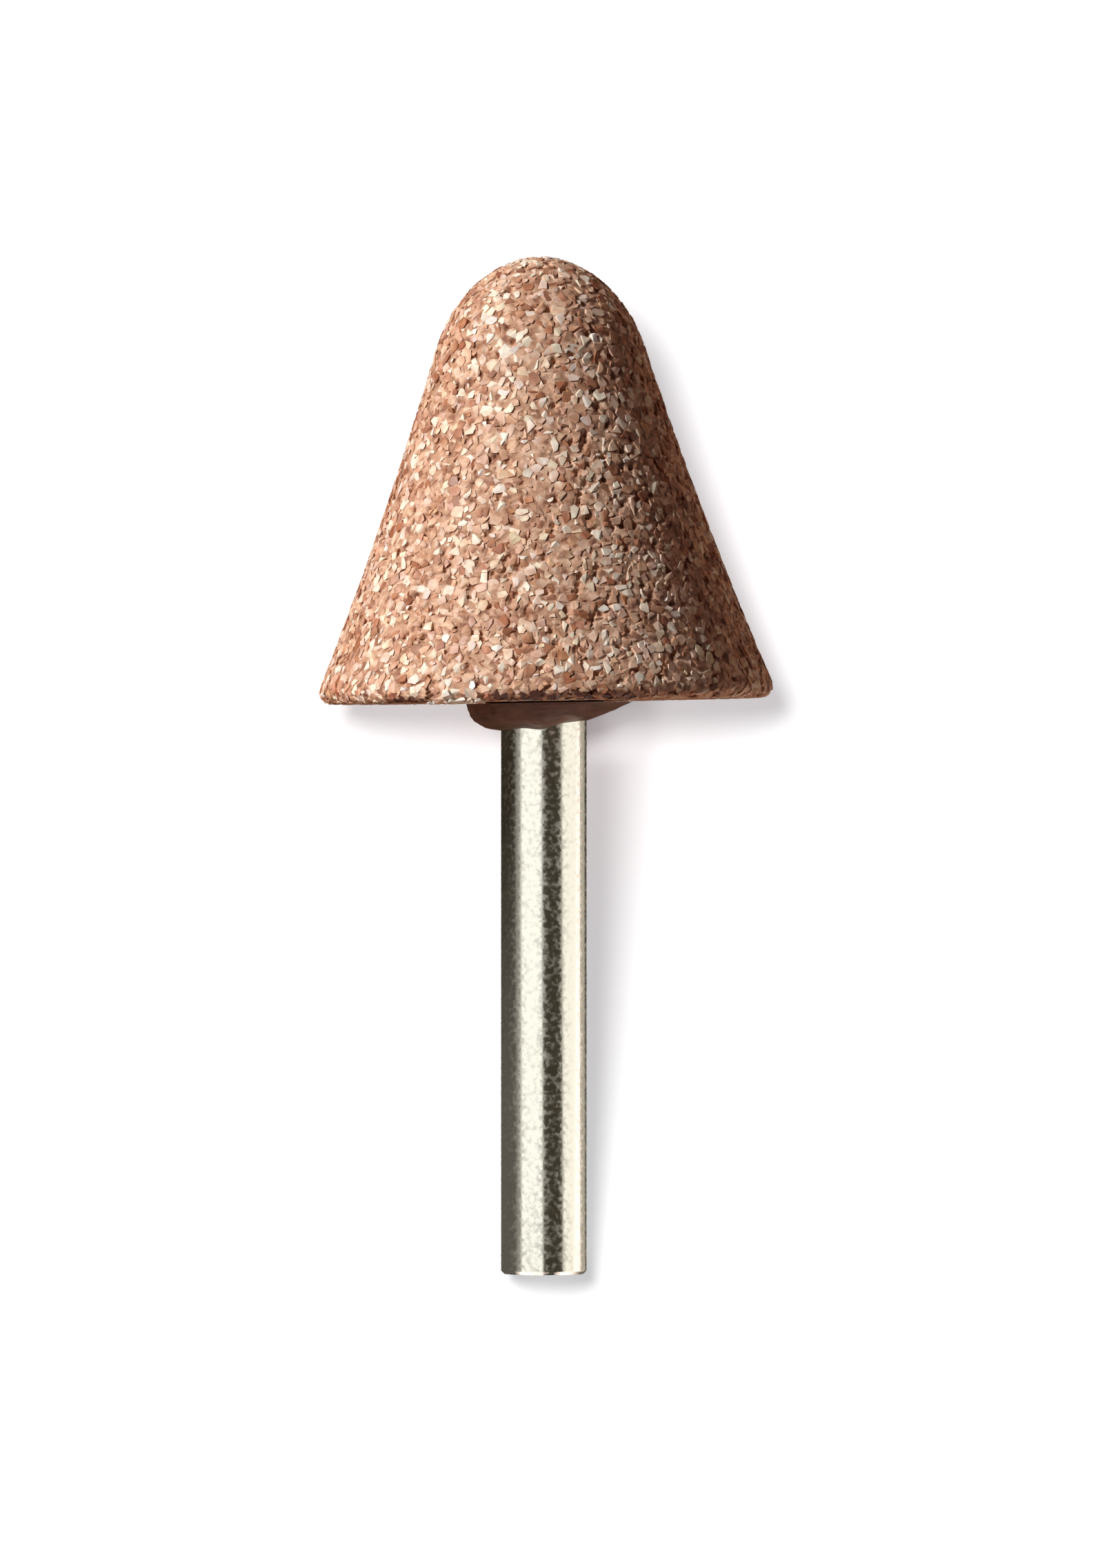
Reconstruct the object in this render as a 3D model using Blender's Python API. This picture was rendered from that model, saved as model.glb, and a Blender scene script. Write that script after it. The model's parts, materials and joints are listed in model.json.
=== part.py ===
"""Mounted grinding point: a bell-shaped bonded abrasive head cemented onto a plated steel pin.

The point lies as it comes to rest, on the rim of its head and the far edge of its shank.
World frame: metres, +Z up, floor at Z = 0, head towards +Y, origin under the middle of the
whole point. All sizes below are in millimetres and degrees.

The pieces are modelled in a working frame that an empty then lays down: the shank's axis is
local Y, Y = 0 is where the head's base crosses that axis, the head is at +Y, the shank at -Y.
Outlines are lists of (radius, height) points, with the height along local Y.
"""
import math

import bmesh
import bpy
from mathutils import Matrix, Vector

MM = 0.001

# Flats that stand for a full circle. One of them points down, so that the point can rest on it.
FLATS = 60

# Pin: a plain shank for a collet, then a reduced, ring-grooved tang that the cement keys into.
SHANK_DIAMETER = 3.175
SHANK_LENGTH = 21.25
SHANK_END_BREAK = 0.12
TANG_DIAMETER = 2.75
TANG_LENGTH = 9.2
TANG_TIP_BREAK = 0.35
TANG_START = 1.0
GROOVE_COUNT = 5
GROOVE_PITCH = 1.3
GROOVE_WIDTH = 0.7
GROOVE_DEPTH = 0.22

# Head: round the rim, up a slightly hollow flank and over the shoulder to the crown.
HEAD_HEIGHT = 16.55
HEAD_DIAMETER = 16.88
RIM_ROUNDING = 0.45
FLANK_ANGLE_AT_RIM = 22.4
SHOULDER_DIAMETER = 7.75
SHOULDER_DROP = 3.37
SHOULDER_HANDLE_LENGTH = 2.25
CROWN_HANDLE_LENGTH = 1.47
BORE_DIAMETER = 4.1
BORE_MOUTH_BREAK = 0.25

# The head sits a little askew on its pin: it leans towards -X and is off centre towards +X.
HEAD_LEAN = 0.94
HEAD_OFFSET = 0.09

# Cement: fills the bore round the tang and squeezes out below the head as a lopsided bead.
# The left side, at -X, is deep and steep, and the right side, at +X, is shallow and slants.
# A fullness of 1 makes its section a straight slant, and 2 makes it a quarter ellipse.
CEMENT_OVER_TANG = 0.9
BEAD_RADIUS_LEFT = 2.88
BEAD_RADIUS_RIGHT = 3.26
BEAD_DEPTH_LEFT = 1.0
BEAD_DEPTH_RIGHT = 0.67
BEAD_FULLNESS_LEFT = 2.1
BEAD_FULLNESS_RIGHT = 1.25

# Clearance between two pieces that touch. It stays hidden in the thin cement line.
SEAT_GAP = 0.05

# Steps along the curved stretches of the outlines.
RIM_STEPS = 7
FLANK_STEPS = 10
DOME_STEPS = 12
BEAD_STEPS = 7


def rim_arc():
    """Rounded rim of the head, from its flat base out and up to where the flank leaves it."""
    centre_radius = HEAD_DIAMETER / 2 - RIM_ROUNDING
    points = []
    for step in range(RIM_STEPS + 1):
        angle = math.radians(-90 + (90 + FLANK_ANGLE_AT_RIM) * step / RIM_STEPS)
        points.append((
            centre_radius + RIM_ROUNDING * math.cos(angle),
            RIM_ROUNDING + RIM_ROUNDING * math.sin(angle),
        ))
    return points


def flank_arc(start, end):
    """Hollow flank: the arc to end that leaves start at the rim's flank angle.

    Returns its points and the angle, in radians from the axis, that it arrives with.
    """
    start_angle = math.radians(FLANK_ANGLE_AT_RIM)
    chord_angle = math.atan2(start[0] - end[0], end[1] - start[1])
    end_angle = 2 * chord_angle - start_angle
    chord = math.dist(start, end)
    radius = chord / (2 * math.sin((start_angle - end_angle) / 2))
    points = []
    for step in range(1, FLANK_STEPS + 1):
        angle = start_angle + (end_angle - start_angle) * step / FLANK_STEPS
        points.append((
            start[0] - radius * (math.cos(angle) - math.cos(start_angle)),
            start[1] + radius * (math.sin(start_angle) - math.sin(angle)),
        ))
    return points, end_angle


def dome_curve(shoulder, shoulder_angle):
    """Cubic curve that carries the flank on over the shoulder and levels off at the crown."""
    controls = (
        Vector(shoulder),
        Vector(shoulder) + SHOULDER_HANDLE_LENGTH * Vector((-math.sin(shoulder_angle), math.cos(shoulder_angle))),
        Vector((CROWN_HANDLE_LENGTH, HEAD_HEIGHT)),
        Vector((0, HEAD_HEIGHT)),
    )
    points = []
    for step in range(1, DOME_STEPS + 1):
        t = step / DOME_STEPS
        weights = ((1 - t) ** 3, 3 * t * (1 - t) ** 2, 3 * t ** 2 * (1 - t), t ** 3)
        point = sum((weight * control for weight, control in zip(weights, controls)), Vector((0, 0)))
        points.append(tuple(point))
    return points


def head_outline():
    """Outline of the head from the edge of its flat base to the top of its crown."""
    rim = rim_arc()
    shoulder = (SHOULDER_DIAMETER / 2, HEAD_HEIGHT - SHOULDER_DROP)
    flank, shoulder_angle = flank_arc(rim[-1], shoulder)
    return rim + flank + dome_curve(shoulder, shoulder_angle)


def groove_points(clearance):
    """V-shaped ring grooves, centred on the tang, with every point moved out by clearance."""
    crest = TANG_DIAMETER / 2 + clearance
    middle = (TANG_START + TANG_LENGTH - TANG_TIP_BREAK) / 2
    points = []
    for index in range(GROOVE_COUNT):
        root = middle + (index - (GROOVE_COUNT - 1) / 2) * GROOVE_PITCH
        points.append((crest, root - GROOVE_WIDTH / 2))
        points.append((crest - GROOVE_DEPTH, root))
        points.append((crest, root + GROOVE_WIDTH / 2))
    return points


def pin_outline():
    """Outline of the pin from its flat free end, along the shank and the tang, to its tip."""
    shank = SHANK_DIAMETER / 2
    tang = TANG_DIAMETER / 2
    return [
        (shank - SHANK_END_BREAK, -SHANK_LENGTH),
        (shank, -SHANK_LENGTH + SHANK_END_BREAK),
        (shank, TANG_START - (shank - tang)),
        (tang, TANG_START),
        *groove_points(0),
        (tang, TANG_LENGTH - TANG_TIP_BREAK),
        (tang - TANG_TIP_BREAK, TANG_LENGTH),
    ]


def bore_depth():
    """Depth of the head's blind bore: the tang and the cement over its tip fit into it."""
    return TANG_LENGTH + CEMENT_OVER_TANG


def bore_cutter_outline():
    """Outline of the tool that cuts the head's blind bore and breaks the edge of its mouth."""
    bore = BORE_DIAMETER / 2
    below_base = HEAD_DIAMETER / 4
    return [
        (bore + BORE_MOUTH_BREAK + below_base, -below_base),
        (bore, BORE_MOUTH_BREAK),
        (bore, bore_depth()),
    ]


def base_height(x):
    """Height at which the leaning head's flat base stands over a point x of the working frame."""
    return (x - HEAD_OFFSET) * math.tan(math.radians(HEAD_LEAN))


def between(left, right, side):
    """Value that runs evenly from left, where side is -1, to right, where side is +1."""
    return (left + right) / 2 + (right - left) / 2 * side


def cement_outline(side):
    """Outline of the cement: down its inner wall, out round the bead and up its outer wall.

    side is the cosine of the angle from +X, so -1 on the bead's left and +1 on its right.
    """
    shank_wall = SHANK_DIAMETER / 2 + SEAT_GAP
    tang_wall = TANG_DIAMETER / 2 + SEAT_GAP
    sleeve = BORE_DIAMETER / 2 - SEAT_GAP
    inner = [
        (tang_wall - TANG_TIP_BREAK, TANG_LENGTH + SEAT_GAP),
        (tang_wall, TANG_LENGTH + SEAT_GAP - TANG_TIP_BREAK),
        *reversed(groove_points(SEAT_GAP)),
        (tang_wall, TANG_START + SEAT_GAP),
        (shank_wall, TANG_START + SEAT_GAP - (shank_wall - tang_wall)),
    ]
    edge = between(BEAD_RADIUS_LEFT, BEAD_RADIUS_RIGHT, side)
    depth = between(BEAD_DEPTH_LEFT, BEAD_DEPTH_RIGHT, side)
    fullness = between(BEAD_FULLNESS_LEFT, BEAD_FULLNESS_RIGHT, side)
    bead = []
    for step in range(BEAD_STEPS + 1):
        share = math.sin(math.pi / 2 * step / BEAD_STEPS)
        radius = shank_wall + (edge - shank_wall) * share
        drop = depth * (1 - share ** fullness) ** (1 / fullness)
        bead.append((radius, base_height(radius * side) - SEAT_GAP - drop))
    mouth = sleeve + BORE_MOUTH_BREAK
    outer = [
        (mouth, base_height(mouth * side) - SEAT_GAP),
        (sleeve, BORE_MOUTH_BREAK - SEAT_GAP),
        (sleeve, bore_depth() - SEAT_GAP),
    ]
    return inner + bead + outer


def add_solid(name, shape, frame):
    """Object made from a bmesh, shaded smooth between its hard edges and carried by frame."""
    bmesh.ops.holes_fill(shape, edges=shape.edges, sides=FLATS)
    bmesh.ops.recalc_face_normals(shape, faces=shape.faces)
    mesh = bpy.data.meshes.new(name)
    shape.to_mesh(mesh)
    shape.free()
    mesh.shade_smooth()
    mesh.set_sharp_from_angle(angle=math.radians(28))
    solid = bpy.data.objects.new(name, mesh)
    bpy.context.scene.collection.objects.link(solid)
    solid.parent = frame
    return solid


def turn(name, outline, frame):
    """Solid of revolution: the outline spun round local Y, with its open ends filled.

    The flats lie at the outline's radius, and the middle of one of them faces local -Z.
    """
    shape = bmesh.new()
    half_flat = math.pi / FLATS
    corner_line = Matrix.Rotation(math.pi / 2 + half_flat, 3, "Y")
    points = []
    for radius, height in outline:
        points.append(shape.verts.new(corner_line @ Vector((radius / math.cos(half_flat), height, 0)) * MM))
    edges = [shape.edges.new(pair) for pair in zip(points, points[1:])]
    bmesh.ops.spin(
        shape,
        geom=points + edges,
        cent=(0, 0, 0),
        axis=(0, 1, 0),
        angle=2 * math.pi,
        steps=FLATS,
        use_merge=True,
    )
    bmesh.ops.remove_doubles(shape, verts=shape.verts, dist=MM * 1e-4)
    return add_solid(name, shape, frame)


def loft(name, outline_at_side, frame):
    """Solid whose outline changes round local Y: rings through its points, bridged in turn.

    outline_at_side gives the outline for the cosine of the angle from local +X, and the flats
    lie as in a turned solid.
    """
    shape = bmesh.new()
    columns = []
    for corner in range(FLATS):
        angle = 2 * math.pi * (corner + 0.5) / FLATS - math.pi / 2
        column = []
        for radius, height in outline_at_side(math.cos(angle)):
            corner_radius = radius / math.cos(math.pi / FLATS)
            place = Vector((corner_radius * math.cos(angle), height, corner_radius * math.sin(angle)))
            column.append(shape.verts.new(place * MM))
        columns.append(column)
    rings = []
    for ring in zip(*columns):
        rings.append([shape.edges.new(pair) for pair in zip(ring, ring[1:] + ring[:1])])
    for ring, next_ring in zip(rings, rings[1:]):
        bmesh.ops.bridge_loops(shape, edges=ring + next_ring)
    return add_solid(name, shape, frame)


def give_material(solid, colour, roughness, metallic):
    """Principled material of the solid's own, with a colour in linear light."""
    material = bpy.data.materials.new(solid.name)
    material.use_nodes = True
    shader = material.node_tree.nodes["Principled BSDF"]
    shader.inputs["Base Color"].default_value = (*colour, 1)
    shader.inputs["Roughness"].default_value = roughness
    shader.inputs["Metallic"].default_value = metallic
    solid.data.materials.append(material)


def build_head(frame):
    """Bonded abrasive head, leaning on its pin, with a blind bore in line with the shank."""
    head = turn("abrasive_head", head_outline(), frame)
    head.location.x = HEAD_OFFSET * MM
    head.rotation_euler.z = math.radians(HEAD_LEAN)
    cutter = turn("bore_cutter", bore_cutter_outline(), frame)
    cutter.hide_render = True
    cutter.display_type = "WIRE"
    bore = head.modifiers.new("blind bore", "BOOLEAN")
    bore.operation = "DIFFERENCE"
    bore.object = cutter
    give_material(head, colour=(0.42, 0.22, 0.145), roughness=0.85, metallic=0)
    return head


def build_pin(frame):
    """Plated steel pin: shank, ring-grooved tang and broken edges, turned in one piece."""
    pin = turn("steel_pin", pin_outline(), frame)
    give_material(pin, colour=(0.80, 0.78, 0.74), roughness=0.15, metallic=1)
    return pin


def build_cement(frame):
    """Cement that fills the bore round the tang and shows as a bead below the head."""
    cement = loft("cement_bead", cement_outline, frame)
    give_material(cement, colour=(0.048, 0.020, 0.018), roughness=0.45, metallic=0)
    return cement


def lying_angle():
    """Angle, in radians, at which rim and shank end both touch the floor, the head raised.

    It balances the rim's rounding and the corner above the shank's broken edge on one line.
    """
    across = HEAD_DIAMETER / 2 - RIM_ROUNDING - SHANK_DIAMETER / 2
    along = RIM_ROUNDING + SHANK_LENGTH - SHANK_END_BREAK
    return math.acos(-RIM_ROUNDING / math.hypot(across, along)) - math.atan2(along, across)


def lay_down(frame, solids):
    """Tilt the frame so that the point rests, and move its box's bottom centre to the origin."""
    frame.rotation_euler.x = lying_angle()
    bpy.context.view_layer.update()
    corners = [solid.matrix_world @ vertex.co for solid in solids for vertex in solid.data.vertices]
    low = Vector(min(corner[axis] for corner in corners) for axis in range(3))
    high = Vector(max(corner[axis] for corner in corners) for axis in range(3))
    frame.location = (-(low.x + high.x) / 2, -(low.y + high.y) / 2, -low.z)
    bpy.context.view_layer.update()


def build():
    """The whole mounted point: head, pin and cement on one frame, lying on the floor."""
    for old in list(bpy.data.objects):
        bpy.data.objects.remove(old, do_unlink=True)
    frame = bpy.data.objects.new("working_frame", None)
    bpy.context.scene.collection.objects.link(frame)
    solids = [build_head(frame), build_pin(frame), build_cement(frame)]
    lay_down(frame, solids)


build()
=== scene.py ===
"""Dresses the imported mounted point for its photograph: bonded grit, plated pin, cement, studio.

Everything is worked out in the point's own working frame, in millimetres, and then laid down
with the CAD frame: X to the right, Y along the shank towards the head, Z towards the camera,
and Y = 0 where the head's base crosses the shank's axis.
"""
import itertools
import math

import bmesh
import bpy
import numpy as np
from mathutils import Matrix, Vector, noise
from mathutils.kdtree import KDTree
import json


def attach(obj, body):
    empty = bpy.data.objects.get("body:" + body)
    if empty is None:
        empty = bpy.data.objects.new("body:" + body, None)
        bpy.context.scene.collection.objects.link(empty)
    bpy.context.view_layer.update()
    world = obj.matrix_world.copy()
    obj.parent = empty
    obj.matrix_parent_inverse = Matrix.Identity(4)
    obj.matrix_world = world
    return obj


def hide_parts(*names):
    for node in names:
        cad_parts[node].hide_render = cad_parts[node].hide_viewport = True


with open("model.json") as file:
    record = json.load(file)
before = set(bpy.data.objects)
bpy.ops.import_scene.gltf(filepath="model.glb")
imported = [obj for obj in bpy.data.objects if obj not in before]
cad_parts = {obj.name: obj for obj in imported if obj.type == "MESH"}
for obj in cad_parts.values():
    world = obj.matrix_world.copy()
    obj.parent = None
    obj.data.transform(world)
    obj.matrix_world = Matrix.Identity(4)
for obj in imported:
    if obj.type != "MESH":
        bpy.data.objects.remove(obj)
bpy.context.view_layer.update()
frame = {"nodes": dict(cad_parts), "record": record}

MM = 0.001

# The photograph's frame, in its own pixels, and its scale from the shank.
PHOTO_WIDTH = 1624
PHOTO_HEIGHT = 2274
SHANK_CENTRE_X = 788.5
CROWN_Y = 371
SHANK_PIXELS = 124
SHANK_DIAMETER = 3.175
MM_PER_PIXEL = SHANK_DIAMETER / SHANK_PIXELS

# Sizes of the CAD model that the scene needs and cannot read from one of its nodes.
CAD_FLATS = 60
SHANK_LENGTH = 21.25
HEAD_HEIGHT = 16.55
HEAD_LEAN = 0.94
HEAD_OFFSET = 0.09
BORE_MOUTH_RADIUS = 2.3
BORE_CHAMFER = 0.25
BORE_END = 10.1

# Camera: a long lens, square to the shank. The photograph's long side fills the sensor. Its
# nearest and farthest sight are in metres.
LENS = 300
SENSOR = 36
SIGHT_START = 0.01
SIGHT_END = 5


def working_frame():
    """Matrix from the working frame, in millimetres, to the world, in metres.

    The record's one mount is the shank's end face, whose normal runs along the shank.
    """
    mount = frame["record"]["mounts"][0]
    along = -Vector(mount["axis"]).normalized()
    right = Vector((1, 0, 0))
    turned = Matrix((right, along, right.cross(along))).transposed().to_4x4()
    base = Vector(mount["pos_m"]) + along * SHANK_LENGTH * MM
    return Matrix.Translation(base) @ turned @ Matrix.Scale(MM, 4)


LAID = working_frame()
LEAN = math.radians(HEAD_LEAN)
LEANING = Matrix.Translation((HEAD_OFFSET, 0, 0)) @ Matrix.Rotation(LEAN, 4, "Z")
HEAD_LAID = LAID @ LEANING


def moved(points, matrix):
    """Array of points carried by a matrix."""
    m = np.array(matrix)
    return points @ m[:3, :3].T + m[:3, 3]


def direction(x, y, z):
    """Unit vector in the world along a direction of the working frame."""
    return (LAID.to_3x3() @ Vector((x, y, z))).normalized()


# Meshes

# Radius at which a turned form is closed on its axis.
AXIS_RADIUS = 0.01
# The one face of a mesh with four corners.
ONE_FACE = [(0, 1, 2, 3)]


def link_object(name, data):
    """Object made of some data, in the scene."""
    made = bpy.data.objects.new(name, data)
    bpy.context.scene.collection.objects.link(made)
    return made


def new_mesh(name, points, faces):
    """Mesh from points and faces."""
    mesh = bpy.data.meshes.new(name)
    mesh.from_pydata(points, [], faces)
    return mesh


def add_piece(name, mesh, material, replaced):
    """Piece from a mesh in the world, riding with the point's one body."""
    mesh.materials.append(material)
    piece = link_object(name, mesh)
    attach(piece, "root")
    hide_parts(replaced)
    return piece


def add_uv(mesh, places):
    """UV map for baked textures, with one place for each vertex."""
    layer = mesh.uv_layers.new(name="OFBake")
    corners = np.empty(len(mesh.loops), dtype=np.int32)
    mesh.loops.foreach_get("vertex_index", corners)
    layer.data.foreach_set("uv", places[corners].ravel())


def add_attribute(mesh, name, kind, values):
    """Attribute with one value for each vertex."""
    field = "color" if kind == "FLOAT_COLOR" else "value"
    mesh.attributes.new(name, kind, "POINT").data.foreach_set(field, values.ravel())


def rings_of(node_name, placed):
    """Radii and heights, in a placed frame, of all the corners of a turned CAD node."""
    mesh = frame["nodes"][node_name].data
    corners = np.empty(len(mesh.vertices) * 3)
    mesh.vertices.foreach_get("co", corners)
    corners = moved(corners.reshape(-1, 3), placed.inverted())
    return np.hypot(corners[:, 0], corners[:, 2]) * math.cos(math.pi / CAD_FLATS), corners[:, 1]


def outline_of(radii, heights):
    """Outline of a turned node, lowest point first, from the rings that its corners lie on."""
    rings = {}
    for radius, height in zip(radii, heights):
        rings.setdefault(round(height, 2), []).append(radius)
    levels = sorted(rings)
    return np.array([(np.median(rings[level]), level) for level in levels])


def turned_grid(radii, heights, sides):
    """Points and faces of an outline turned round Y, one ring for each radius and height."""
    angles = 2 * math.pi * np.arange(sides) / sides
    points = np.stack([
        np.outer(radii, np.cos(angles)),
        np.repeat(np.asarray(heights)[:, None], sides, axis=1),
        np.outer(radii, np.sin(angles)),
    ], axis=2).reshape(-1, 3)
    ring = np.arange(len(radii) - 1)[:, None] * sides
    here = np.arange(sides)[None, :]
    following = (here + 1) % sides
    above = ring + sides
    faces = np.stack([ring + here, above + here, above + following, ring + following], axis=2)
    return points, faces.reshape(-1, 4)


# Materials


def new_material(name, inputs=None):
    """Material with its node tree and its Principled shader, whose inputs are set by name."""
    material = bpy.data.materials.new(name)
    material.use_nodes = True
    shader = material.node_tree.nodes["Principled BSDF"]
    for socket, value in (inputs or {}).items():
        shader.inputs[socket].default_value = value
    return material, material.node_tree, shader


def add_node(tree, kind, properties=None, **inputs):
    """Shader node with properties set by name, and inputs set to values or linked to sockets.

    An input is named with underscores for spaces, or by an underscore and its number.
    """
    made = tree.nodes.new(kind)
    for name, value in (properties or {}).items():
        setattr(made, name, value)
    for name, value in inputs.items():
        number = name[1:]
        socket = made.inputs[int(number) if number.isdigit() else name.replace("_", " ")]
        if isinstance(value, bpy.types.NodeSocket):
            tree.links.new(value, socket)
        else:
            socket.default_value = value
    return made


def add_noise(tree, scale, detail):
    """Noise over the object's own coordinates, with its scale per metre."""
    place = add_node(tree, "ShaderNodeTexCoord").outputs["Object"]
    made = add_node(tree, "ShaderNodeTexNoise", Vector=place, Scale=scale, Detail=detail)
    return made.outputs["Fac"]


def add_range(tree, value, given, wanted, kind="LINEAR"):
    """Value carried from a given range to the wanted one."""
    made = add_node(
        tree, "ShaderNodeMapRange", {"interpolation_type": kind}, Value=value,
        From_Min=given[0], From_Max=given[1], To_Min=wanted[0], To_Max=wanted[1],
    )
    return made.outputs["Result"]


def add_ramp(tree, factor, stops):
    """Colour ramp over a factor, with stops given as (position, colour)."""
    ramp = add_node(tree, "ShaderNodeValToRGB", Fac=factor)
    ramp.color_ramp.interpolation = "EASE"
    for position, _ in stops[2:]:
        ramp.color_ramp.elements.new(position)
    for element, (position, colour) in zip(ramp.color_ramp.elements, stops):
        element.position = position
        element.color = (*colour, 1)
    return ramp.outputs["Color"]


# Camera


def make_camera():
    """Camera on the photograph's line of sight, framed as the photograph is."""
    centre_x = (PHOTO_WIDTH / 2 - SHANK_CENTRE_X) * MM_PER_PIXEL
    centre_y = HEAD_HEIGHT - (PHOTO_HEIGHT / 2 - CROWN_Y) * MM_PER_PIXEL
    distance = LENS / SENSOR * PHOTO_HEIGHT * MM_PER_PIXEL
    data = bpy.data.cameras.new("camera")
    data.lens = LENS
    data.sensor_width = SENSOR
    data.clip_start = SIGHT_START
    data.clip_end = SIGHT_END
    camera = link_object("camera", data)
    place = LAID @ Matrix.Translation((centre_x, centre_y, distance))
    camera.matrix_world = Matrix.LocRotScale(place.translation, place.to_quaternion(), None)
    bpy.context.scene.camera = camera


# Head: crushed grains set in a bond, dressed level with the outline of the CAD node

SEED = 6315
CRYSTAL_SHAPES = 48
# Darts thrown and radius of the pores, then of each size of grain, big first, with its corners
# and the share of its colour that is its own.
PORES = (1000, 0.12)
GRAIN_SIZES = (
    ("coarse_grit", 30000, 0.25, 14, 0.7),
    ("medium_grit", 50000, 0.19, 12, 0.6),
    ("fine_grit", 80000, 0.13, 9, 0.4),
)
# Share of two grains' radii that their centres keep apart.
CROWDING = 0.66
NEIGHBOURS = tuple(itertools.product((-1, 0, 1), repeat=3))
# Range of a crystal's corners from its middle, in radii, and how it is stretched each way.
CRYSTAL_CORNERS = (0.8, 1.1)
CRYSTAL_STRETCH = (0.8, 1.3)
# How far the dressed tops lie below the outline, with the shape and the scale of that drop's
# gamma spread and the least drop, and how far the tops' faces tilt.
TOP_DROP = 0.014
DROP_SPREAD = (1.5, 0.7)
LEAST_DROP = 0.004
TOP_TILT = 0.16
# Share of a grain's radius that the dressing took off its top, and the share below its own
# surface at which its core begins.
DRESSED_OFF = (0.3, 0.9)
CORE_DEPTH = 0.5
# Size of a grain in its own cell of the UV map, and its limit there.
UV_SPREAD = 0.6
UV_LIMIT = 0.42
# The bond lies below the grains' tops. It has lumps, given by their depth and their number per
# millimetre, and pores, and it meets the bore without them.
BOND_DROP = 0.055
BOND_RELIEF = 0.04
BOND_LUMPS = 4.2
PORE_DEPTH = 0.2
BOND_SIDES = 400
BOND_STEP = 0.13
BOND_START = 0.02
BORE_FADE = 0.4
# How far from the bore, across and past its end, a corner counts as one of the head's outside.
BORE_MARGIN = (0.2, 1)
AREA_STEPS = 2000

# Colours of the grains in linear light, from the darkest, for stained grains and for the painted
# shade on the front of the base's edge, to the palest.
STAIN_AND_SHADE_COLOUR = (0.10, 0.032, 0.020)
GRAIN_COLOURS = (
    (-1.5, STAIN_AND_SHADE_COLOUR),
    (-0.7, (0.38, 0.155, 0.08)),
    (0.00, (0.44, 0.185, 0.10)),
    (0.25, (0.65, 0.355, 0.225)),
    (0.50, (0.78, 0.48, 0.325)),
    (0.75, (0.91, 0.65, 0.485)),
    (1.00, (0.99, 0.83, 0.68)),
    (1.40, (1.00, 0.95, 0.88)),
)
# Colours drift in clusters, in wide patches and from grain to grain, and a few grains are pale.
CLUSTER_SIZE = 0.5
CLUSTER_SHARE = 1.1
MOTTLE_SIZE = 2.0
MOTTLE_SHARE = 0.25
PALE_GRAINS = 0.16
PALE_STEP = 0.5
DARK_GRAINS = 0.03
DARK_STEP = -1.1
# Spread of the grains' saturation, and of their hue between rose and ochre.
SATURATION_SPREAD = 0.10
HUE_SPREAD = 0.05
# Colours also drift within a grain at random, and each grain is painted paler in its middle and
# darker at its rim: a painted glow that stands in for light through the crystal.
CORNER_SPREAD = 0.15
CORE_GLOW = (0.84, 1.10)
# Painted shade: deep between the tops, colours darken in step with the depth, down to a least share.
# The powers for red, green and blue make that painted shade redder.
SHADE_DEPTH = 0.5
SHADE_LEAST = 0.4
SHADE_POWERS = (0.5, 0.8, 1.0)
GRAIN_ROUGHNESS = (0.28, 0.5)
# Grains on the front of the base's edge painted dark in the cement's colour, as painted shade where
# that edge lies in shadow, and pale ones beside them: their range of x, the height that they reach,
# what they add to the paleness and how far they stand out.
EDGE_PATCHES = (
    (-2.3, 3.3, 0.30, -2.0, 0),
    (-5.9, -4.3, 0.22, -2.0, 0),
    (-4.3, -2.1, 0.30, 0.80, 0.10),
    (-4.0, -2.3, 0.85, 0.35, 0),
)
# Distance from the axis at which the patches start on the base's face, and how ragged they are.
PATCH_RADIUS = 7.6
PATCH_RAGGED = 0.8


class Skin:
    """The head's outline as tables over the distance s from its crown, for setting grains on."""

    def __init__(self):
        radii, heights = rings_of("abrasive_head", HEAD_LAID)
        beside, beyond = BORE_MARGIN
        solid = (radii > BORE_MOUTH_RADIUS + beside) | (heights > BORE_END + beyond)
        outline = outline_of(radii[solid], heights[solid])[::-1]
        outline[0, 0] = 0
        outline = np.append(outline, [(BORE_MOUTH_RADIUS, 0)], axis=0)
        s = np.concatenate([[0], np.cumsum(np.hypot(*np.diff(outline, axis=0).T))])
        slope = np.gradient(outline, s, axis=0)
        slope[0] = (1, 0)
        slope[-1] = (-1, 0)
        # The tables run on past the crown to its other side.
        self.s = np.concatenate([-s[:0:-1], s])
        self.r = np.concatenate([-outline[:0:-1, 0], outline[:, 0]])
        self.h = np.concatenate([outline[:0:-1, 1], outline[:, 1]])
        self.out_r = np.concatenate([slope[:0:-1, 1], -slope[:, 1]])
        self.out_h = np.concatenate([slope[:0:-1, 0], slope[:, 0]])
        self.length = s[-1]
        self.area_s = np.linspace(0, self.length, AREA_STEPS)
        self.area = np.cumsum(np.interp(self.area_s, self.s, self.r))

    def at(self, s, angle, aside=0, above=0):
        """Points at distance s and an angle, moved aside round the axis and above the skin."""
        out_r = np.interp(s, self.s, self.out_r)
        out_h = np.interp(s, self.s, self.out_h)
        unit = 1 / np.hypot(out_r, out_h)
        r = np.interp(s, self.s, self.r) + out_r * unit * above
        y = np.interp(s, self.s, self.h) + out_h * unit * above
        x = r * np.cos(angle) - aside * np.sin(angle)
        z = r * np.sin(angle) + aside * np.cos(angle)
        return np.stack([x, y, z], axis=-1)

    def scattered(self, count, rng):
        """Distances and angles of points strewn evenly over the skin."""
        share = rng.uniform(0, self.area[-1], count)
        return np.interp(share, self.area, self.area_s), rng.uniform(-math.pi, math.pi, count)


def is_clear(bins, cell, place, radius):
    """Whether a grain at a place would keep its distance from those that are there."""
    i, j, k = cell
    x, y, z = place
    for a, b, c in NEIGHBOURS:
        for other_x, other_y, other_z, other_radius in bins.get((i + a, j + b, k + c), ()):
            apart = CROWDING * (radius + other_radius)
            if (x - other_x) ** 2 + (y - other_y) ** 2 + (z - other_z) ** 2 < apart * apart:
                return False
    return True


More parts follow.
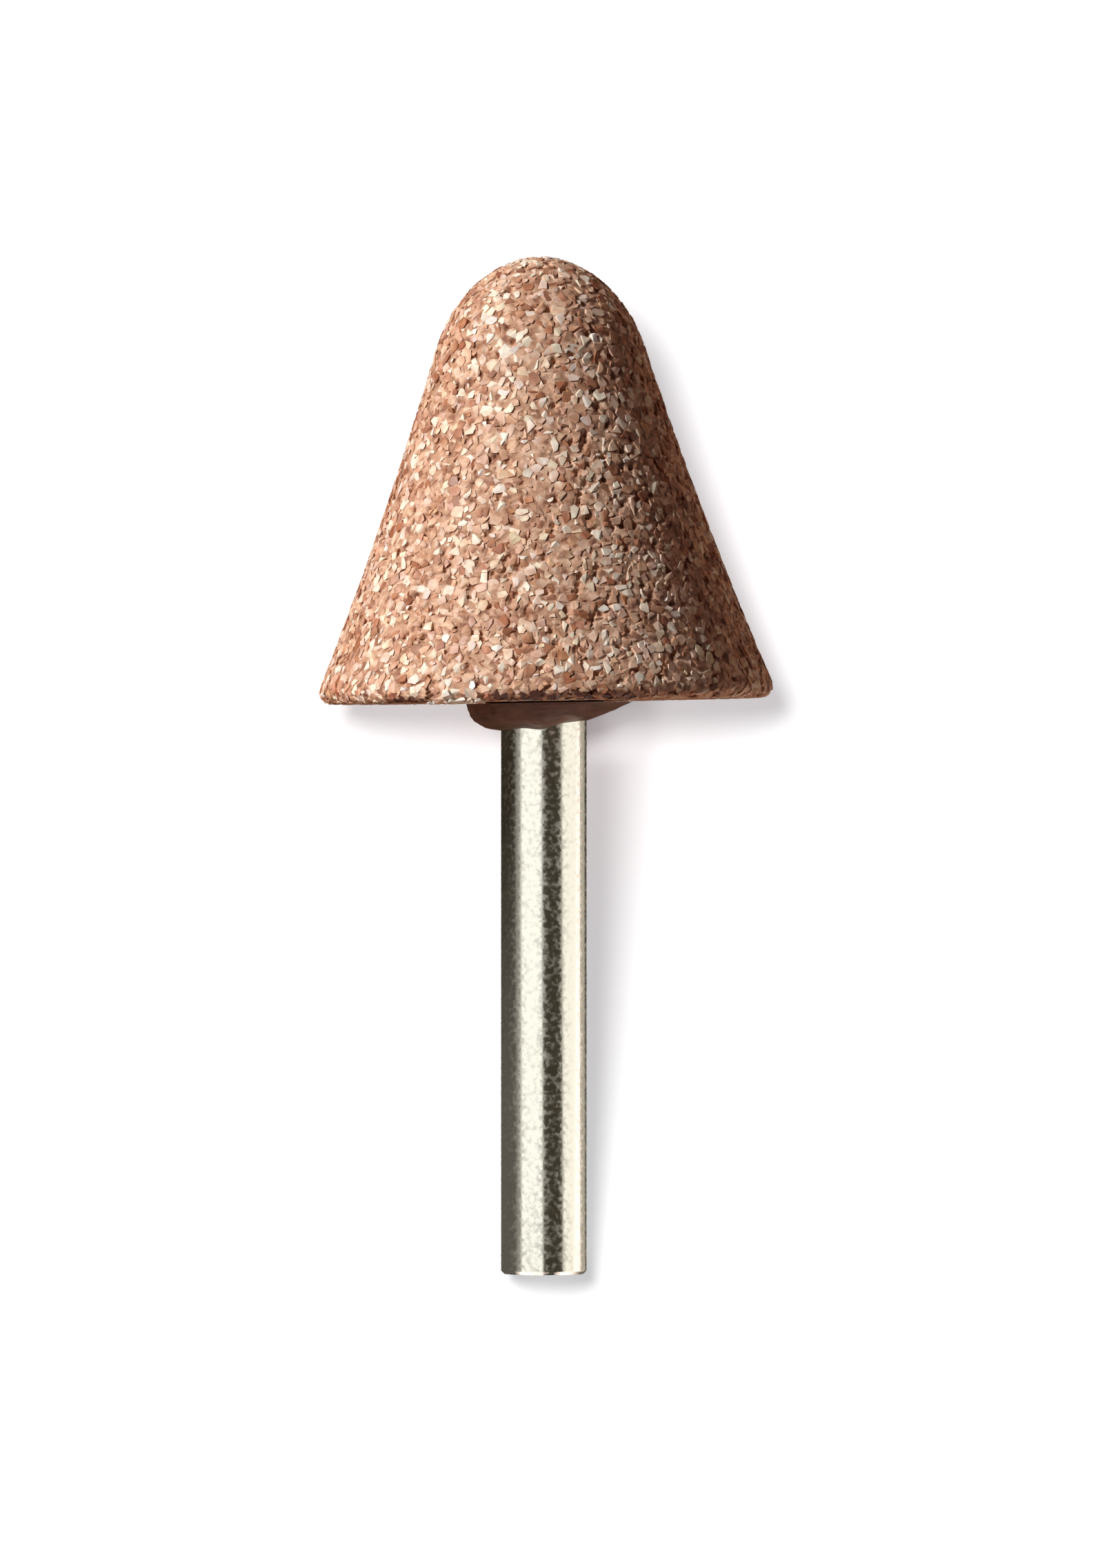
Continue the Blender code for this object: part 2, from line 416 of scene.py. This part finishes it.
def throw_grains(skin, batches, rng):
    """Grains that keep their distance from each other: one (s, angle, radius, size class) a row."""
    cell_size = 2 * batches[0][1]
    bins = {}
    grains = []
    for size_class, (count, radius) in enumerate(batches):
        distances, angles = skin.scattered(count, rng)
        places = skin.at(distances, angles).tolist()
        for s, angle, place in zip(distances.tolist(), angles.tolist(), places):
            cell = tuple(int(part // cell_size) for part in place)
            if is_clear(bins, cell, place, radius):
                bins.setdefault(cell, []).append((*place, radius))
                grains.append((s, angle, radius, size_class))
    return np.array(grains)


def crystal(corners, rng):
    """Convex crystal about one unit in radius: the hull of random points. Points and triangles."""
    shape = bmesh.new()
    for point in rng.normal(size=(corners, 3)):
        shape.verts.new(Vector(point).normalized() * rng.uniform(*CRYSTAL_CORNERS))
    hull = bmesh.ops.convex_hull(shape, input=shape.verts)
    bmesh.ops.delete(shape, geom=hull["geom_interior"], context="VERTS")
    bmesh.ops.triangulate(shape, faces=shape.faces)
    bmesh.ops.recalc_face_normals(shape, faces=shape.faces)
    shape.verts.index_update()
    points = np.array([vertex.co for vertex in shape.verts])
    triangles = np.array([[vertex.index for vertex in face.verts] for face in shape.faces])
    shape.free()
    return points, triangles


def random_turns(count, rng):
    """Random rotation matrices, from random unit quaternions."""
    q = rng.normal(size=(count, 4))
    w, x, y, z = (q / np.linalg.norm(q, axis=1)[:, None]).T
    return np.stack([
        1 - 2 * (y * y + z * z), 2 * (x * y - w * z), 2 * (x * z + w * y),
        2 * (x * y + w * z), 1 - 2 * (x * x + z * z), 2 * (y * z - w * x),
        2 * (x * z - w * y), 2 * (y * z + w * x), 1 - 2 * (x * x + y * y),
    ], axis=1).reshape(-1, 3, 3)


def edge_patches(places):
    """Steps of paleness and lifts of the grains at some places on the edge of the base; the dark
    steps are painted shade.
    """
    x, y, z = places.T
    ragged = PATCH_RAGGED * (np.random.default_rng(SEED).random(len(places)) - 0.5)
    on_edge = (z > 0) & (np.hypot(x - HEAD_OFFSET, z) > PATCH_RADIUS + ragged)
    step = np.zeros(len(places))
    lift = np.zeros(len(places))
    # The dark steps paint shade on the front of the edge; the pale ones are the grains' own colour.
    for start, end, height, patch_step, patch_lift in EDGE_PATCHES:
        inside = (x > start) & (x < end) & (y < height) & on_edge
        step += patch_step * inside
        lift += patch_lift * inside
    return step, lift


def dressed(points, radius, rng):
    """Crystals of one shape with their tops dressed off, one for each radius.

    Gives where their points lie aside, along and above the skin, and how deep each lay in the
    uncut crystal, from nought at its surface to one in its core.
    """
    count = len(radius)
    stretch = rng.uniform(*CRYSTAL_STRETCH, (count, 1, 3))
    offsets = np.einsum("gij,pj->gpi", random_turns(count, rng), points) * stretch
    offsets *= radius[:, None, None]
    aside, along, above = np.moveaxis(offsets, 2, 0)
    taken_off = radius[:, None] * rng.uniform(*DRESSED_OFF, (count, 1))
    uncut = above - above.max(axis=1, keepdims=True) + taken_off
    tilt_aside, tilt_along = rng.normal(0, TOP_TILT, (2, count, 1))
    drop = TOP_DROP * rng.gamma(*DROP_SPREAD, (count, 1))
    top = np.minimum(-drop + tilt_aside * aside + tilt_along * along, -LEAST_DROP)
    above = np.minimum(uncut, top)
    core = np.clip((uncut - above) / (CORE_DEPTH * radius[:, None]), 0, 1)
    return aside, along, above, core


def drift(places, size):
    """Smooth noise of a size at some places."""
    return np.array([noise.noise(Vector(place) / size) for place in places.tolist()])


def grain_colours(middles, above, core, patch_step, own_share, rng):
    """Colour of each point of some grains, from their middles and their points' heights."""
    count = len(middles)
    cluster = CLUSTER_SHARE * drift(middles, CLUSTER_SIZE)
    mottle = MOTTLE_SHARE * drift(middles, MOTTLE_SIZE)
    paleness = 0.5 + cluster + mottle + own_share * (rng.random(count) - 0.5)
    pale = PALE_STEP * (rng.random(count) < PALE_GRAINS)
    dark = DARK_STEP * (rng.random(count) < DARK_GRAINS)
    paleness += pale + dark
    paleness = paleness[:, None] + rng.normal(0, CORNER_SPREAD, above.shape)
    paleness = np.minimum(paleness, 1) + patch_step[:, None]
    shares, palette = zip(*GRAIN_COLOURS)
    colour = np.stack([np.interp(paleness, shares, part) for part in zip(*palette)], axis=2)
    saturation = rng.normal(1, SATURATION_SPREAD, (count, 1, 1))
    hue = rng.normal(1, HUE_SPREAD, (count, 1))
    colour[..., 1:] = colour[..., :1] * (colour[..., 1:] / colour[..., :1]) ** saturation
    colour[..., 2] *= hue
    # Painted shade: darker and redder the deeper a point lies below the tops.
    depth = np.clip(1 + above / SHADE_DEPTH, SHADE_LEAST, 1)[:, :, None]
    colour *= depth ** np.array(SHADE_POWERS)
    # Painted glow: paler in a grain's middle, darker at its rim.
    colour *= CORE_GLOW[0] + (CORE_GLOW[1] - CORE_GLOW[0]) * core[:, :, None]
    return np.concatenate([colour.clip(0, 1), np.ones((*above.shape, 1))], axis=2)


def set_grains(name, skin, grains, corners, own_share, material, rng):
    """One piece of many crystals, each sunk into the skin and dressed level at its top."""
    shapes = [crystal(corners, rng) for _ in range(CRYSTAL_SHAPES)]
    kinds = rng.integers(0, CRYSTAL_SHAPES, len(grains))
    columns = math.ceil(math.sqrt(len(grains)))
    all_points, all_faces, all_places, all_colours, all_gloss = [], [], [], [], []
    first = 0
    for kind, (points, triangles) in enumerate(shapes):
        chosen = np.flatnonzero(kinds == kind)
        count = len(chosen)
        s, angle, radius, _ = grains[chosen].T
        aside, along, above, core = dressed(points, radius, rng)
        middles = skin.at(s, angle)
        patch_step, lift = edge_patches(middles)
        above = above + lift[:, None]
        all_points.append(skin.at(s[:, None] + along, angle[:, None], aside, above).reshape(-1, 3))
        corner = first + np.arange(count)[:, None, None] * len(points) + triangles
        all_faces.append(corner.reshape(-1, 3))
        first += count * len(points)
        reach = 2 * radius[:, None]
        cell = np.stack([chosen % columns, chosen // columns], axis=1)[:, None] + 0.5
        spread = np.stack([aside / reach, along / reach], axis=2) * UV_SPREAD
        spread = np.clip(spread, -UV_LIMIT, UV_LIMIT)
        all_places.append(((cell + spread) / columns).reshape(-1, 2))
        colours = grain_colours(middles, above, core, patch_step, own_share, rng)
        all_colours.append(colours.reshape(-1, 4))
        all_gloss.append(np.repeat(rng.uniform(*GRAIN_ROUGHNESS, count), len(points)))
    world = moved(np.concatenate(all_points), HEAD_LAID)
    mesh = new_mesh(name, world.tolist(), np.concatenate(all_faces).tolist())
    add_uv(mesh, np.concatenate(all_places))
    # This colour carries painted shade and painted glow besides the grains' own colours.
    add_attribute(mesh, "tint_shade_and_glow", "FLOAT_COLOR", np.concatenate(all_colours))
    add_attribute(mesh, "roughness", "FLOAT", np.concatenate(all_gloss))
    return add_piece(name, mesh, material, "abrasive_head")


# How strongly the grains refract, and how much of their gloss shows under the dust.
CORUNDUM_IOR = 1.76
GRAIN_GLEAM = 0.12
# Noises are given by their number of waves per metre and their levels of detail. The one inside
# the grains dims and lights their colour between two shares of it.
GRAIN_CLOUD = (3500, 2)
CLOUD_RANGE = (0.3, 0.7)
CLOUD_SHADE = (0.84, 1.1)
BOND_SPECKS = (2600, 3)
BOND_ROUGHNESS = 0.85
BOND_COLOURS = (
    (0.34, (0.30, 0.125, 0.07)),
    (0.50, (0.56, 0.31, 0.19)),
    (0.66, (0.82, 0.54, 0.38)),
)


def grain_material():
    """Crushed grains: each its own colour and gloss, a little cloudy inside, with painted shade and
    glow.
    """
    material, tree, shader = new_material(
        "crushed_grain", {"IOR": CORUNDUM_IOR, "Specular IOR Level": GRAIN_GLEAM},
    )
    tint_shade_and_glow = add_node(tree, "ShaderNodeAttribute", {"attribute_name": "tint_shade_and_glow"})
    gloss = add_node(tree, "ShaderNodeAttribute", {"attribute_name": "roughness"})
    cloudy = add_range(tree, add_noise(tree, *GRAIN_CLOUD), CLOUD_RANGE, CLOUD_SHADE)
    mixed = add_node(
        tree, "ShaderNodeVectorMath", {"operation": "SCALE"}, _0=tint_shade_and_glow.outputs["Color"], Scale=cloudy,
    )
    tree.links.new(mixed.outputs["Vector"], shader.inputs["Base Color"])
    tree.links.new(gloss.outputs["Fac"], shader.inputs["Roughness"])
    return material


def bond_material():
    """Fired bond between the grains: rough, brown and dusty."""
    material, tree, shader = new_material("fired_bond", {"Roughness": BOND_ROUGHNESS})
    colour = add_ramp(tree, add_noise(tree, *BOND_SPECKS), BOND_COLOURS)
    tree.links.new(colour, shader.inputs["Base Color"])
    return material


def make_bond(skin, pores):
    """The bond: one closed body with the head's form and its blind bore, rough between grains.

    Gives its points, its faces of four corners and its faces of three.
    """
    steps = int(skin.length / BOND_STEP)
    s = np.linspace(BOND_START, skin.length, steps)
    radii = np.interp(s, skin.s, skin.r)
    heights = np.interp(s, skin.s, skin.h)
    points, faces = turned_grid(radii, heights, BOND_SIDES)
    angles = np.tile(2 * math.pi * np.arange(BOND_SIDES) / BOND_SIDES, steps)
    lumps = [noise.noise(Vector(point) * BOND_LUMPS) for point in points.tolist()]
    relief = BOND_RELIEF * np.array(lumps)
    holes = KDTree(len(pores))
    for index, middle in enumerate(skin.at(pores[:, 0], pores[:, 1]).tolist()):
        holes.insert(middle, index)
    holes.balance()
    nearest = np.array([holes.find(point)[2] for point in points.tolist()])
    relief -= PORE_DEPTH * np.exp(-(nearest / PORES[1]) ** 2)
    off_bore = np.repeat(np.clip((skin.length - s) / BORE_FADE, 0, 1), BOND_SIDES)
    sunk = (-BOND_DROP + relief) * off_bore
    points = moved(skin.at(np.repeat(s, BOND_SIDES), angles, 0, sunk), LEANING)
    bore_radius = BORE_MOUTH_RADIUS - BORE_CHAMFER
    bore, bore_faces = turned_grid(
        [bore_radius, bore_radius, AXIS_RADIUS], [BORE_CHAMFER, BORE_END, BORE_END], BOND_SIDES,
    )
    count = len(points)
    end = count + len(bore)
    last = count - BOND_SIDES
    bottom = end - BOND_SIDES
    ring = np.arange(BOND_SIDES)
    following = (ring + 1) % BOND_SIDES
    bridge = np.stack([last + ring, count + ring, count + following, last + following], axis=1)
    crown_cap = np.stack([np.full(BOND_SIDES, end), following, ring], axis=1)
    bore_cap = np.stack([np.full(BOND_SIDES, end + 1), bottom + ring, bottom + following], axis=1)
    crown = moved(np.array([[0, HEAD_HEIGHT - BOND_DROP, 0]]), LEANING)
    inside = np.array([[0, BORE_END, 0]])
    quads = np.concatenate([faces, bridge, bore_faces + count])
    caps = np.concatenate([crown_cap, bore_cap])
    return np.concatenate([points, bore, crown, inside]), quads, caps


def make_head(rng):
    """The head: the bond, and grains of three sizes."""
    skin = Skin()
    batches = [PORES] + [(darts, radius) for _, darts, radius, _, _ in GRAIN_SIZES]
    thrown = throw_grains(skin, batches, rng)
    material = grain_material()
    pieces = []
    for size_class, (name, _, _, corners, own_share) in enumerate(GRAIN_SIZES, 1):
        chosen = thrown[thrown[:, 3] == size_class]
        pieces.append(set_grains(name, skin, chosen, corners, own_share, material, rng))
    points, quads, caps = make_bond(skin, thrown[thrown[:, 3] == 0])
    mesh = new_mesh("grit_bond", moved(points, LAID).tolist(), quads.tolist() + caps.tolist())
    pieces.append(add_piece("grit_bond", mesh, bond_material(), "abrasive_head"))
    return pieces


# Pin

PIN_SIDES = 256
# Edges that turn by more than this many degrees stay sharp.
PIN_SHARP = 28
PLATE_COLOUR = (0.87, 0.85, 0.79, 1)
# The plating's roughness, from its bright ground to its dull specks, and the range of its grain
# between the two.
PLATE_ROUGHNESS = (0.15, 0.41)
SPECK_RANGE = (0.41, 0.7)
# Grain of the plating: its noise, its depth in metres and how strongly it shows.
PLATE_GRAIN = (5600, 2)
GRAIN_DEPTH = 1.2e-6
GRAIN_STRENGTH = 0.5


def make_pin():
    """Pin turned from the CAD node's rings, round where that one has flats."""
    outline = outline_of(*rings_of("steel_pin", LAID))
    radii = np.concatenate([[AXIS_RADIUS], outline[:, 0], [AXIS_RADIUS]])
    heights = np.concatenate([outline[:1, 1], outline[:, 1], outline[-1:, 1]])
    points, faces = turned_grid(radii, heights, PIN_SIDES)
    mesh = new_mesh("turned_pin", moved(points, LAID).tolist(), faces[:, ::-1].tolist())
    mesh.shade_smooth()
    mesh.set_sharp_from_angle(angle=math.radians(PIN_SHARP))
    return add_piece("turned_pin", mesh, plate_material(), "steel_pin")


def plate_material():
    """Bright plating over ground steel, with a fine grain and dull specks."""
    material, tree, shader = new_material("bright_plate", {"Metallic": 1, "Base Color": PLATE_COLOUR})
    grain = add_noise(tree, *PLATE_GRAIN)
    relief = add_node(
        tree, "ShaderNodeBump", Strength=GRAIN_STRENGTH, Distance=GRAIN_DEPTH, Height=grain,
    )
    tree.links.new(relief.outputs["Normal"], shader.inputs["Normal"])
    tree.links.new(add_range(tree, grain, SPECK_RANGE, PLATE_ROUGHNESS), shader.inputs["Roughness"])
    return material


# Cement bead

BEAD_CUTS = 3
BEAD_SHARP = 40
# Size and depth of the bead's lumps.
BEAD_LUMPS = ((0.9, 0.05), (0.35, 0.016))
RIPPLE_PITCH = 0.22
RIPPLE_DEPTH = 0.006
# The bead's surface stays as it is up to this far from its edges, and then fades to full relief.
BEAD_EDGE = 0.07
BEAD_EDGE_FADE = 0.25
# Lobe that hangs down the front of the shank: its place, its width and its depth, how far below
# the base it starts, and how soon it comes to its full depth.
LOBE_X = -0.1
LOBE_WIDTH = 0.5
LOBE_DEPTH = 0.14
LOBE_START = 0.3
LOBE_FADE = 0.4
# The cement's gloss is weak and uneven.
CEMENT_GLEAM = 0.26
CEMENT_CLOUD = (1600, 4)
CEMENT_ROUGHNESS = (0.38, 0.6)
CEMENT_COLOURS = (
    (0.30, (0.150, 0.074, 0.052)),
    (0.55, (0.215, 0.110, 0.080)),
    (0.75, (0.295, 0.160, 0.122)),
)


def make_bead():
    """Bead of cement: the CAD node's form with a finer, lumpy and rippled open surface."""
    shape = bmesh.new()
    shape.from_mesh(frame["nodes"]["cement_bead"].data)
    bmesh.ops.transform(shape, matrix=LAID.inverted(), verts=shape.verts)
    wall = SHANK_DIAMETER / 2
    tilt = math.tan(LEAN)

    def openness(place):
        """Nought at the bead's edges and one well inside its open surface."""
        below_base = (place.x - HEAD_OFFSET) * tilt - place.y
        off_shank = math.hypot(place.x, place.z) - wall
        return min(max(min(below_base, off_shank) - BEAD_EDGE, 0) / BEAD_EDGE_FADE, 1)

    open_faces = [face for face in shape.faces if openness(face.calc_center_median()) > 0]
    edges = list({edge for face in open_faces for edge in face.edges})
    bmesh.ops.subdivide_edges(shape, edges=edges, cuts=BEAD_CUTS, use_grid_fill=True)
    bmesh.ops.recalc_face_normals(shape, faces=shape.faces)
    shape.normal_update()
    for vertex in shape.verts:
        place = vertex.co.copy()
        height = -RIPPLE_DEPTH * (1 + math.cos(2 * math.pi * place.y / RIPPLE_PITCH))
        for size, depth in BEAD_LUMPS:
            height -= depth * (0.5 + noise.noise(place / size))
        vertex.co += vertex.normal * height * openness(place)
        if place.z > 0 and math.hypot(place.x, place.z) > wall:
            near_lobe = math.exp(-((place.x - LOBE_X) / LOBE_WIDTH) ** 2)
            hanging = min(max(-place.y - LOBE_START, 0) / LOBE_FADE, 1)
            vertex.co.y -= LOBE_DEPTH * near_lobe * hanging
    bmesh.ops.transform(shape, matrix=LAID, verts=shape.verts)
    mesh = bpy.data.meshes.new("cement_skin")
    shape.to_mesh(mesh)
    shape.free()
    mesh.shade_smooth()
    mesh.set_sharp_from_angle(angle=math.radians(BEAD_SHARP))
    mesh.materials.clear()
    return add_piece("cement_skin", mesh, cement_material(), "cement_bead")


def cement_material():
    """Dark resin cement, a little uneven in colour and gloss."""
    material, tree, shader = new_material("dark_cement", {"Specular IOR Level": CEMENT_GLEAM})
    cloud = add_noise(tree, *CEMENT_CLOUD)
    tree.links.new(add_ramp(tree, cloud, CEMENT_COLOURS), shader.inputs["Base Color"])
    gloss = add_range(tree, cloud, CLOUD_RANGE, CEMENT_ROUGHNESS)
    tree.links.new(gloss, shader.inputs["Roughness"])
    return material


# Studio

# Sun lights: their angles to the right of the line of sight and above it, and their softness, in
# degrees.
KEY_LIGHT = {"across": -53.5, "up": 23, "strength": 3.82, "softness": 14}
# Lights of the floor: one throws the shadow of the head and the cement, the other the pin's,
# so that the shadow stays wide where the pin comes down to the floor.
HEAD_SHADOW_LIGHT = {"across": -5.6, "up": 4.5, "strength": 1.72, "softness": 6.5}
PIN_SHADOW_LIGHT = {"across": -13, "up": 14, "strength": 1.85, "softness": 18}
# The world's even light on the object, and what the object's gloss mirrors of it.
AMBIENT = (0.018, 0.004, 0)
GLOSSY_AMBIENT = (0.045, 0.037, 0.024)
# The floor: its half width, its colour where the camera sees it, its colour in the light that it
# throws back at the object, and a faint glow that only the camera sees.
FLOOR_HALF = 400
FLOOR_COLOUR = (0.9, 0.9, 0.9)
FLOOR_BOUNCE = (0.60, 0.37, 0.26)
FLOOR_GLOW = (0.024, 0.038, 0.060)
# Glow of the floor where both shadows fall, seen only by the camera: its strength, its place on
# the photograph's plane, and its reach.
NECK_GLOW = 0.28
NECK_GLOW_PLACE = (2.3, -0.9)
NECK_GLOW_REACH = 2.2
# Strip lights beside the shank, seen only in its plating: angles round the shank's axis from the
# line of sight towards +X, in degrees, at its free end and at the head, and brightness. Then
# their distance from the axis, their steps, and the y of their ends.
STRIPS = (
    ("left_edge_strip", (-84, -61), (-80, -65), (0.26, 0.25, 0.22)),
    ("left_strip", (-61, -1), (-65, -7), (1.18, 1.18, 1.10)),
    ("right_strip", (54, 104), (46, 104), (1.12, 1.09, 0.97)),
)
STRIP_REACH = 45
STRIP_STEPS = 12
STRIP_ENDS = (-SHANK_LENGTH - 6, 8)
# Panels before and behind the object, out of the photograph's view, that keep the metal bright
# from other sides: their y, half width, lowest and highest edge, and brightness.
PANELS = (
    ("front_panel", -160, 160, 8, 150, (0.8, 0.79, 0.76)),
    ("back_panel", 160, 160, 8, 150, (0.8, 0.79, 0.76)),
)
# Flags: cards low over the floor, seen only in the plating. Each has a left and a right edge,
# given by its x at the near end, its x at the far end and its height, then its brightness and
# the y of its near and its far end.
FLAG_NEAR = -SHANK_LENGTH - 2
FLAG_FAR = 3
FLAGS = (
    ("under_flag", (-30, -30, 0.01), (2.2, 5.6, 0.01), (0.2, 0.19, 0.16), FLAG_NEAR, FLAG_FAR),
    ("right_flag", (2.2, 8, 0.02), (4.3, 22, 0.02), (0.46, 0.42, 0.34), FLAG_NEAR, FLAG_FAR),
    ("head_flag", (-120, -120, 0.03), (120, 120, 0.03), (0.02, 0.014, 0.01), FLAG_FAR, 80),
    ("end_flag", (0, -0.1, 0.02), (19, 1.2, 0.02), (0.06, 0.05, 0.04), -90, FLAG_NEAR),
)
# The flag to the left of the shank, in slices that darken towards the head: the y where each
# begins and its brightness. Then its outer edge, and the y, the x and the height of its inner
# one.
LEFT_FLAG = (
    (FLAG_NEAR, (0.11, 0.10, 0.085)),
    (-14, (0.10, 0.09, 0.076)),
    (-12, (0.087, 0.078, 0.065)),
    (-10, (0.073, 0.065, 0.053)),
    (-8, (0.058, 0.05, 0.039)),
    (-6, (0.044, 0.037, 0.027)),
    (-4, (0.03, 0.024, 0.016)),
    (FLAG_FAR, None),
)
LEFT_FLAG_OUTER = (-350, -350, 90)
LEFT_FLAG_INNER = ((FLAG_NEAR, -8, FLAG_FAR), (2.2, 5.6, 8))
LEFT_FLAG_HEIGHT = 0.02


def add_sun(name, across, up, strength, softness, lit=(), unlit=(), blockers=()):
    """Sun light from an angle to the right of the line of sight and one above it.

    It lights only what is lit, or everything but what is unlit. Where blockers are given, they
    alone stop it.
    """
    data = bpy.data.lights.new(name, "SUN")
    data.energy = strength
    data.angle = math.radians(softness)
    light = link_object(name, data)
    across, up = math.radians(across), math.radians(up)
    level = math.cos(up)
    towards = direction(math.sin(across) * level, math.sin(up), math.cos(across) * level)
    light.rotation_euler = towards.to_track_quat("Z", "Y").to_euler()
    group = bpy.data.collections.new(name)
    for receiver in (*lit, *unlit):
        group.objects.link(receiver)
    light.light_linking.receiver_collection = group
    for member in group.collection_objects:
        member.light_linking.link_state = "INCLUDE" if lit else "EXCLUDE"
    if blockers:
        stoppers = bpy.data.collections.new(name + "_blockers")
        for blocker in blockers:
            stoppers.objects.link(blocker)
        light.light_linking.blocker_collection = stoppers


def make_floor():
    """White floor that keeps a soft shadow and shows white to the camera and in the metal."""
    half = FLOOR_HALF * MM
    corners = [(-half, -half, 0), (half, -half, 0), (half, half, 0), (-half, half, 0)]
    mesh = new_mesh("floor", corners, ONE_FACE)
    mesh.materials.append(floor_material())
    floor = link_object("floor", mesh)
    return floor


def floor_material():
    """Matt white, with its own colour for each kind of ray that meets it."""
    material, tree, shader = new_material("floor", {"Roughness": 1, "Specular IOR Level": 0})
    path = add_node(tree, "ShaderNodeLightPath")
    seen = path.outputs["Is Camera Ray"]
    bounce = add_node(
        tree, "ShaderNodeMix", {"data_type": "RGBA"},
        _0=seen, _6=(*FLOOR_BOUNCE, 1), _7=(*FLOOR_COLOUR, 1),
    )
    tree.links.new(bounce.outputs[2], shader.inputs["Base Color"])
    sight = direction(0, 0, 1)
    spot = LAID @ Vector((*NECK_GLOW_PLACE, 0))
    spot -= sight * (spot.z / sight.z)
    place = add_node(tree, "ShaderNodeTexCoord").outputs["Object"]
    away = add_node(tree, "ShaderNodeVectorMath", {"operation": "DISTANCE"}, _0=place, _1=spot)
    reach = (0, NECK_GLOW_REACH * MM)
    neck = add_range(tree, away.outputs["Value"], reach, (NECK_GLOW, 0), "SMOOTHERSTEP")
    shade = add_node(tree, "ShaderNodeVectorMath", {"operation": "ADD"}, _0=FLOOR_GLOW, _1=neck)
    glow = add_node(tree, "ShaderNodeEmission", Color=shade.outputs["Vector"], Strength=seen)
    mirrored = add_node(
        tree, "ShaderNodeMath", {"operation": "MAXIMUM"},
        _0=path.outputs["Is Glossy Ray"], _1=path.outputs["Is Transmission Ray"],
    )
    white = add_node(tree, "ShaderNodeEmission", Strength=mirrored.outputs[0])
    lit = add_node(tree, "ShaderNodeAddShader", _0=shader.outputs[0], _1=glow.outputs[0])
    whole = add_node(tree, "ShaderNodeAddShader", _0=lit.outputs[0], _1=white.outputs[0])
    tree.links.new(whole.outputs[0], tree.nodes["Material Output"].inputs["Surface"])
    return material


def add_flag(name, left, right, colour, near, far):
    """Card low over the floor between two slanting edges, seen only in reflections."""
    corners = []
    for (x_near, x_far, height), y in ((left, near), (right, near), (right, far), (left, far)):
        spot = LAID @ Vector((x_near if y == near else x_far, y, 0))
        corners.append((spot.x, spot.y, height * MM))
    add_reflected(name, corners, ONE_FACE, colour)


def add_strip(name, near_angles, far_angles, colour):
    """Strip light curved round the shank, seen only in reflections."""
    near = np.radians(np.linspace(*near_angles, STRIP_STEPS))
    far = np.radians(np.linspace(*far_angles, STRIP_STEPS))
    points = np.stack([
        STRIP_REACH * np.sin([near, far]),
        np.repeat(np.array(STRIP_ENDS)[:, None], STRIP_STEPS, axis=1),
        STRIP_REACH * np.cos([near, far]),
    ], axis=2).reshape(-1, 3)
    faces = [(i, i + 1, i + 1 + STRIP_STEPS, i + STRIP_STEPS) for i in range(STRIP_STEPS - 1)]
    add_reflected(name, moved(points, LAID).tolist(), faces, colour)


def add_panel(name, y, half_width, low, high, colour):
    """Upright panel, seen only in reflections."""
    edges = ((-half_width, low), (half_width, low), (half_width, high), (-half_width, high))
    corners = np.array([(x, y, z) for x, z in edges]) * MM
    add_reflected(name, corners.tolist(), ONE_FACE, colour)


def add_reflected(name, points, faces, colour):
    """Studio object of one even brightness that shows in reflections only."""
    material, tree, _ = new_material(name)
    glow = add_node(tree, "ShaderNodeEmission", Color=(*colour, 1))
    tree.links.new(glow.outputs[0], tree.nodes["Material Output"].inputs["Surface"])
    mesh = new_mesh(name, points, faces)
    mesh.materials.append(material)
    made = link_object(name, mesh)
    for ray in ("camera", "diffuse", "transmission", "volume_scatter", "shadow"):
        setattr(made, "visible_" + ray, False)


def make_world():
    """White to the camera, a weak even light for the object, and nearly dark in reflections."""
    world = bpy.data.worlds.new("studio")
    world.use_nodes = True
    bpy.context.scene.world = world
    tree = world.node_tree
    path = add_node(tree, "ShaderNodeLightPath")
    lit = add_node(
        tree, "ShaderNodeMix", {"data_type": "RGBA"},
        _0=path.outputs["Is Glossy Ray"], _6=(*AMBIENT, 1), _7=(*GLOSSY_AMBIENT, 1),
    )
    seen = add_node(
        tree, "ShaderNodeMix", {"data_type": "RGBA"},
        _0=path.outputs["Is Camera Ray"], _6=lit.outputs[2], _7=(1, 1, 1, 1),
    )
    tree.links.new(seen.outputs[2], tree.nodes["Background"].inputs["Color"])


def make_studio(pin, head_and_bead):
    """Floor, lights, strips, panels, flags and world."""
    floor = make_floor()
    add_sun("key", **KEY_LIGHT, unlit=[floor, pin])
    add_sun("head_shadow_light", **HEAD_SHADOW_LIGHT, lit=[floor], blockers=head_and_bead)
    add_sun("pin_shadow_light", **PIN_SHADOW_LIGHT, lit=[floor], blockers=[pin])
    for index, (near, colour) in enumerate(LEFT_FLAG[:-1]):
        far = LEFT_FLAG[index + 1][0]
        inner = (*np.interp((near, far), *LEFT_FLAG_INNER), LEFT_FLAG_HEIGHT)
        add_flag(f"left_flag_{index}", LEFT_FLAG_OUTER, inner, colour, near, far)
    for flag in FLAGS:
        add_flag(*flag)
    for strip in STRIPS:
        add_strip(*strip)
    for panel in PANELS:
        add_panel(*panel)
    make_world()


make_camera()
head = make_head(np.random.default_rng(SEED))
pin = make_pin()
bead = make_bead()
make_studio(pin, head + [bead])
bpy.context.scene.view_settings.view_transform = "Standard"

import json
